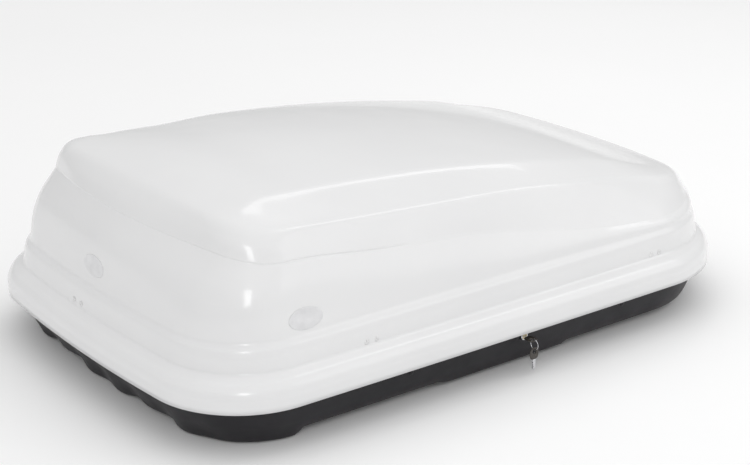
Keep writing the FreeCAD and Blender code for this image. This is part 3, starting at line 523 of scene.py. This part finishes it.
WHITE = surface("gloss_white", (0.775, 0.775, 0.78), (0.80, 0.80, 0.803), (0.19, 0.262), (3.5, 9, 240),
                (0.05, 0.0002), coat=0.35)
WHITE_INSIDE = surface("moulded_white_inside", (0.62, 0.62, 0.61), (0.70, 0.70, 0.69), (0.45, 0.6),
                       (5, 18, 500), (0.25, 0.0004))
BLACK = surface("satin_black", (0.011, 0.0102, 0.0125), (0.019, 0.0178, 0.021), (0.36, 0.5), (6, 25, 900),
                (0.22, 0.0003), specular=0.32)
BLACK_INSIDE = surface("moulded_black_inside", (0.018, 0.018, 0.018), (0.034, 0.034, 0.034), (0.55, 0.7),
                       (7, 30, 600), (0.4, 0.0005), specular=0.32)
ZINC = surface("zinc_steel", (0.46, 0.47, 0.47), (0.66, 0.67, 0.66), (0.28, 0.46), (60, 120, 800),
               (0.12, 0.0001), metallic=1.0)
ALUMINIUM = surface("aluminium", (0.72, 0.72, 0.72), (0.84, 0.84, 0.84), (0.24, 0.4), (200, 300, 900),
                    (0.1, 0.0001), metallic=1.0)
DARK_PLASTIC = surface("dark_plastic", (0.02, 0.02, 0.02), (0.05, 0.05, 0.05), (0.4, 0.6),
                       (80, 200, 1200), (0.25, 0.0002))
CHROME = surface("chrome", (0.62, 0.63, 0.65), (0.78, 0.78, 0.80), (0.08, 0.2), (150, 400, 900),
                 (0.05, 0.0001), metallic=1.0)
BRASS = surface("brass_plug", (0.40, 0.33, 0.20), (0.62, 0.55, 0.38), (0.25, 0.42), (300, 500, 1500),
                (0.1, 0.0001), metallic=1.0)
KEY_BLACK = surface("key_black", (0.035, 0.03, 0.028), (0.075, 0.065, 0.055), (0.35, 0.55),
                    (200, 500, 1500), (0.3, 0.0001))
BADGE = surface("badge_grey", (0.68, 0.68, 0.69), (0.76, 0.76, 0.77), (0.3, 0.42), (60, 160, 900),
                (0.1, 0.0001), coat=0.6)


def dress(item, *materials):
    """Give an object these materials and no others."""
    item.data.materials.clear()
    for made in materials:
        item.data.materials.append(made)


dress(lid, WHITE, WHITE_INSIDE)
dress(tray, BLACK, BLACK_INSIDE)
FINISH = {
    "zinc_steel": ZINC, "aluminium_rivet": ALUMINIUM, "dark_plastic": DARK_PLASTIC, "chrome": CHROME,
    "brass_plug": BRASS, "key_black": KEY_BLACK, "badge_grey": BADGE,
}
for entry in frame["record"]["subparts"]:
    if entry["node"] not in ("lid_shell", "base_shell"):
        dress(frame["nodes"][entry["node"]], FINISH[entry["material_slot"]])


# ---------------------------------------------------------------- turned and flat details

def lathe(profile, centre, along, turns=28):
    """Closed turned solid: profile of (radius, height) from axis to axis, standing along a way."""
    along = Vector(along)
    side = along.orthogonal().normalized()
    up = along.cross(side)
    points = [Vector(centre) + along * profile[0][1]]
    for radius, height in profile[1:-1]:
        for step in range(turns):
            angle = 2 * math.pi * step / turns
            points.append(Vector(centre) + along * height
                          + (side * math.cos(angle) + up * math.sin(angle)) * radius)
    points.append(Vector(centre) + along * profile[-1][1])
    last = len(points) - 1
    faces = [(0, 1 + (step + 1) % turns, 1 + step) for step in range(turns)]
    for row in range(len(profile) - 3):
        a, b = 1 + row * turns, 1 + (row + 1) * turns
        faces += [(a + step, a + (step + 1) % turns, b + (step + 1) % turns, b + step)
                  for step in range(turns)]
    top = 1 + (len(profile) - 3) * turns
    faces += [(top + step, top + (step + 1) % turns, last) for step in range(turns)]
    return points, faces


def joined(name, solids, body, finish, node):
    """One piece made of separate closed solids, standing for a node."""
    item = make_object(name, *gathered(solids))
    work = bmesh.new()
    work.from_mesh(item.data)
    bmesh.ops.recalc_face_normals(work, faces=work.faces)
    work.to_mesh(item.data)
    work.free()
    dress(item, finish)
    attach(item, body)
    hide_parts(node)
    return item


SAME_POINT = 0.001


def islands(node):
    """Boxes, in millimetres, of a node's separate solids."""
    work = bmesh.new()
    work.from_mesh(frame["nodes"][node].data)
    bmesh.ops.remove_doubles(work, verts=work.verts, dist=SAME_POINT * MM)
    left = set(work.verts)
    boxes = []
    for start in list(work.verts):
        if start not in left:
            continue
        group, waiting = [], [start]
        left.discard(start)
        while waiting:
            vert = waiting.pop()
            group.append(vert.co / MM)
            for link in vert.link_edges:
                other = link.other_vert(vert)
                if other in left:
                    left.discard(other)
                    waiting.append(other)
        spots = np.array(group)
        boxes.append((spots.min(axis=0), spots.max(axis=0)))
    work.free()
    return boxes


RIVET_HEAD, RIVET_RISE, RIVET_SHANK = 5.0, 1.6, 2.0
# Each row of rivets: the axis they stand along, their body and their slot.
RIVETS = {
    "hinge_base_rivets": (1, "tray", "black_tray"), "hinge_lid_rivets": (1, "lid", "aluminium_rivet"),
    "stay_base_rivets": (0, "tray", "black_tray"), "stay_lid_rivets": (0, "lid", "aluminium_rivet"),
    "bar_guide_rivets": (1, "tray", "black_tray"), "striker_rivets": (1, "lid", "aluminium_rivet"),
    "floor_rail_rivets": (2, "tray", "aluminium_rivet"),
}


def domed_rivet(low, high, axis):
    """Blind rivet between a box's ends: domed head with the drawn pin's dimple, shank and tail."""
    way = np.zeros(3)
    way[axis] = 1 if axis == 2 or low[axis] + high[axis] > 0 else -1
    middle = (low + high) / 2
    length = high[axis] - low[axis]
    base = middle + way * (length / 2 - RIVET_RISE)
    tail = RIVET_RISE - length
    profile = [(0, 1.0), (0.9, 1.05), (1.05, 1.55), (1.6, 1.6), (2.6, 1.5), (3.6, 1.2), (4.4, 0.8),
               (4.85, 0.4), (RIVET_HEAD, 0.12), (RIVET_HEAD, 0), (RIVET_SHANK, 0),
               (RIVET_SHANK, tail + 2.6), (2.8, tail + 2.2), (2.9, tail + 1.0), (2.2, tail), (0, tail)]
    return lathe(profile, base, way)


for node, (axis, body, slot_name) in RIVETS.items():
    finish = BLACK if slot_name == "black_tray" else ALUMINIUM
    heads = [domed_rivet(low, high, axis) for low, high in islands(node)]
    joined(node + "_domed", heads, body, finish, node)

FLANGE, FLANGE_THICK, SLEEVE, BORE, BORE_START = 8.0, 3.4, 7.0, 5.55, 0.7
THREAD_START, THREAD_DEPTH, HALF_PITCH, THREAD_STEPS = 4.2, 0.25, 0.8, 26
barrel_depth = LOCK_HIGH[1] - LOCK_LOW[1]
barrel_profile = [(BORE, BORE_START), (BORE + 0.4, 0.25), (6.3, 0), (7.0, 0.1), (7.6, 0.45), (7.9, 1.0),
                  (FLANGE, 1.7), (FLANGE, FLANGE_THICK), (SLEEVE, FLANGE_THICK)]
barrel_profile += [(SLEEVE - THREAD_DEPTH * (step % 2), THREAD_START + HALF_PITCH * step)
                   for step in range(THREAD_STEPS)]
barrel_profile += [(SLEEVE, barrel_depth), (BORE, barrel_depth), (BORE, BORE_START)]


def tube(profile, centre, along, turns=40):
    """Closed ring solid turned from a profile whose last point is its first."""
    points, faces = lathe([(0, 0)] + profile + [(0, 0)], centre, along, turns)
    kept = (len(profile) - 1) * turns
    return points[1: 1 + kept], [tuple((i - 1) % kept for i in face) for face in faces[turns:-turns]]


joined("lock_barrel_turned", [tube(barrel_profile, (LOCK_X, LOCK_LOW[1], LOCK_Z), (0, 1, 0))],
       "tray", CHROME, "lock_barrel")


def split_ring(node, turns=2.15, radius=10.0, wire=0.44, start=0.6):
    """Two turns of round wire lying side by side."""
    centre = sum(corners(node)) / 2
    steps, around = 110, 10
    points, faces = [], []
    for step in range(steps + 1):
        share = step / steps
        angle = 2 * math.pi * turns * share + start
        outward = np.array([0, math.cos(angle), math.sin(angle)])
        middle = centre + outward * radius + np.array([(share - 0.5) * 2 * wire, 0, 0])
        for turn in range(around):
            tilt = 2 * math.pi * turn / around
            points.append(middle + wire * (outward * math.cos(tilt) + np.array([math.sin(tilt), 0, 0])))
    for step in range(steps):
        a, b = step * around, (step + 1) * around
        faces += [(a + i, a + (i + 1) % around, b + (i + 1) % around, b + i) for i in range(around)]
    faces.append(tuple(range(around))[::-1])
    faces.append(tuple(range(steps * around, (steps + 1) * around)))
    return points, faces


joined("key_ring_split", [split_ring("key_ring")], "ring", CHROME, "key_ring")

KEY_HEAD, KEY_HALF, KEY_THICK, KEY_HOLE, KEY_WEB = 24.0, 10.5, 2.2, 4.7, 3.1
# Powers under one square the head's oval off a little, lengthways and across.
HEAD_POWER, HEAD_POWER_ACROSS = 0.72, 0.78
BLADE_LENGTH, BLADE_HALF, BLADE_ROOT, BLADE_INSET = 22.0, 3.5, -3.0, 0.15
CUTS, FIRST_CUT, CUT_PITCH = [2.2, 3.4, 1.6, 2.6, 1.2, 3.0, 2.0], 4.0, 2.2


def key_head():
    """Moulded head with rounded edges and a round hole near its end."""
    around = 56
    hole_x = KEY_HOLE + KEY_WEB - KEY_HEAD
    levels = [(0.9, KEY_HOLE + 0.5, 0), (0.3, KEY_HOLE + 0.15, 0.25), (0, KEY_HOLE, 0.7),
              (0, KEY_HOLE, KEY_THICK - 0.7), (0.3, KEY_HOLE + 0.15, KEY_THICK - 0.25),
              (0.9, KEY_HOLE + 0.5, KEY_THICK)]
    outer, inner = [], []
    for inset, hole, z in levels:
        for step in range(around):
            angle = 2 * math.pi * step / around
            c, w = math.cos(angle), math.sin(angle)
            head_c = math.copysign(abs(c) ** HEAD_POWER, c)
            head_w = math.copysign(abs(w) ** HEAD_POWER_ACROSS, w)
            outer.append((-KEY_HEAD / 2 + (KEY_HEAD / 2 - inset) * head_c, (KEY_HALF - inset) * head_w, z))
            inner.append((hole_x + hole * c, hole * w, z))
    points = outer + inner
    first = len(outer)
    faces = []
    for level in range(len(levels) - 1):
        for step in range(around):
            a, b = level * around + step, level * around + (step + 1) % around
            faces.append((a, b, b + around, a + around))
            faces.append((first + a, first + a + around, first + b + around, first + b))
    top = (len(levels) - 1) * around
    for step in range(around):
        after = (step + 1) % around
        faces.append((step, first + step, first + after, after))
        faces.append((top + step, top + after, first + top + after, first + top + step))
    return points, faces


def key_blade():
    """Flat steel blade with a pointed tip and cuts along one edge."""
    edge_points = [(BLADE_ROOT, BLADE_HALF)]
    for index, depth in enumerate(CUTS):
        x = FIRST_CUT + index * CUT_PITCH
        edge_points += [(x, BLADE_HALF), (x + 0.7, depth), (x + 1.3, depth)]
    edge_points += [(BLADE_LENGTH - 2.2, BLADE_HALF - 1.2), (BLADE_LENGTH, 0),
                    (BLADE_LENGTH - 2.6, -BLADE_HALF), (BLADE_ROOT, -BLADE_HALF)]
    return prism(edge_points[::-1], BLADE_INSET, KEY_THICK - BLADE_INSET, lambda x, y, z: (x, y, z))


def key_piece(name, node, body, place):
    """Key standing for a node: black head and plated blade, moved to its place."""
    solids = [([place(*point) for point in points], faces) for points, faces in (key_head(), key_blade())]
    item = joined(name, solids, body, KEY_BLACK, node)
    item.data.materials.append(CHROME)
    for polygon in item.data.polygons[len(solids[0][1]):]:
        polygon.material_index = 1
        polygon.use_smooth = False


KEY_LOW = corners("key")[0]
SPARE_LOW, SPARE_HIGH = corners("spare_key")
key_piece("key_moulded", "key", "lock",
          lambda x, y, z: (LOCK_X - y, KEY_LOW[1] + KEY_HEAD + x, KEY_LOW[2] + z))
key_piece("spare_key_moulded", "spare_key", "spare",
          lambda x, y, z: (LOCK_X - y, SPARE_LOW[1] + z, SPARE_HIGH[2] - KEY_HEAD - x))


BADGE_HALF_LENGTH, BADGE_HALF_HEIGHT, BADGE_REACH = 35.0, 19.0, 40.0


def badge_plate(node, outward):
    """Thin oval with a rounded rim, laid on the lid's wall where the node's badge stands."""
    middle = Vector(sum(corners(node)) / 2)
    outward = Vector(outward).normalized()
    sideways = Vector((0, 0, 1)).cross(outward).normalized()
    upward = outward.cross(sideways)
    profile = [(0, -0.4), (0.5, -0.4), (0.97, -0.4), (1, 0), (1, 0.7), (0.985, 1.0), (0.96, 1.15),
               (0.92, 1.2), (0.7, 1.2), (0.4, 1.2), (0, 1.2)]
    points, faces = lathe(profile, (0, 0, 0), (0, 0, 1), 64)
    placed = []
    for point in points:
        across, up = point.x * BADGE_HALF_LENGTH, point.y * BADGE_HALF_HEIGHT
        spot = middle + sideways * across + upward * up
        wall = lid.ray_cast((spot + outward * BADGE_REACH) * MM, -outward)[1]
        placed.append(wall / MM + outward * point.z)
    return placed, faces


for node, outward in (("rear_badge", (-1, 0, 0.3)), ("side_badge", (0, -1, 0.3))):
    joined(node + "_plate", [badge_plate(node, outward)], "lid", BADGE, node)


# ---------------------------------------------------------------- floor, light and camera

def floor_material():
    """Matt white studio floor."""
    made, tree, shader = material("pale_floor", (0.96, 0.96, 0.96), 0.7)
    clouds = ranged(tree, noise(tree, 1.5), 0, 1)
    tree.links.new(tinted(tree, clouds, (0.955, 0.955, 0.955), (0.965, 0.965, 0.965)),
                   shader.inputs["Base Color"])
    return made


FLOOR_HALF, FLOOR_LEVEL = 9000.0, -0.5
floor_points = [(x * FLOOR_HALF, y * FLOOR_HALF, FLOOR_LEVEL)
                for x, y in ((-1, -1), (1, -1), (1, 1), (-1, 1))]
floor = make_object("floor", floor_points, [(0, 1, 2, 3)], False)
dress(floor, floor_material())

world = bpy.data.worlds.new("studio")
bpy.context.scene.world = world
world.use_nodes = True
background = world.node_tree.nodes["Background"]
background.inputs["Color"].default_value = (1, 1, 1, 1)
sky_place = world.node_tree.nodes.new("ShaderNodeTexCoord")
sky_split = world.node_tree.nodes.new("ShaderNodeSeparateXYZ")
world.node_tree.links.new(sky_place.outputs["Generated"], sky_split.inputs["Vector"])
sky = ranged(world.node_tree, sky_split.outputs["Z"], 0.52, 0.94, 0.0, 0.8)
world.node_tree.links.new(sky, background.inputs["Strength"])


def soft_light(name, place, target, size, power, along=(0, 0, 1)):
    """Rectangular lamp facing a target, its second side running along a way."""
    lamp = bpy.data.lights.new(name, "AREA")
    lamp.shape = "RECTANGLE"
    lamp.size, lamp.size_y = size
    lamp.energy = power
    item = bpy.data.objects.new(name, lamp)
    bpy.context.scene.collection.objects.link(item)
    item.location = place
    facing = (Vector(place) - Vector(target)).normalized()
    long_side = (Vector(along) - facing * facing.dot(Vector(along))).normalized()
    item.rotation_mode = "QUATERNION"
    turn = Matrix((long_side.cross(facing), long_side, facing)).transposed()
    item.rotation_quaternion = turn.to_quaternion()


soft_light("overhead", (0.3, 0.3, 4.6), (0, 0, 0.2), (4.5, 3.5), 8)
soft_light("side", (3.4, -3.8, 2.4), (0, 0, 0.2), (3.2, 2.4), 18)
soft_light("ridge_strip", (1.84, 1.28, 2.37), (0, 0, 0.3), (0.5, 1.6), 3.6, (0.79, -0.24, -0.56))
soft_light("edge_strip", (2.1, -1.15, 2.9), (0, 0, 0.3), (0.6, 2.2), 9.5)
soft_light("near_window", (-2.3, -3.1, 2.1), (-0.5, -0.3, 0.2), (0.75, 1.5), 17)

AZIMUTH, ELEVATION, DISTANCE, AIM_HEIGHT = math.radians(-37.1), math.radians(21.463), 3.4234, 0.082
LENS, SENSOR, SHIFT_X, SHIFT_Y = 81.5, 36.0, 0.00108, 0.04524
back = Vector((math.sin(AZIMUTH) * math.cos(ELEVATION), -math.cos(AZIMUTH) * math.cos(ELEVATION),
               math.sin(ELEVATION)))
camera = bpy.data.objects.new("camera", bpy.data.cameras.new("camera"))
bpy.context.scene.collection.objects.link(camera)
camera.data.lens = LENS
camera.data.sensor_width = SENSOR
camera.location = Vector((0, 0, AIM_HEIGHT)) + back * DISTANCE
camera.rotation_mode = "QUATERNION"
camera.rotation_quaternion = (-back).to_track_quat("-Z", "Y")
camera.data.shift_x, camera.data.shift_y = SHIFT_X, SHIFT_Y
camera.data.clip_start, camera.data.clip_end = 0.05, 60
bpy.context.scene.camera = camera
bpy.context.scene.view_settings.view_transform = "Standard"
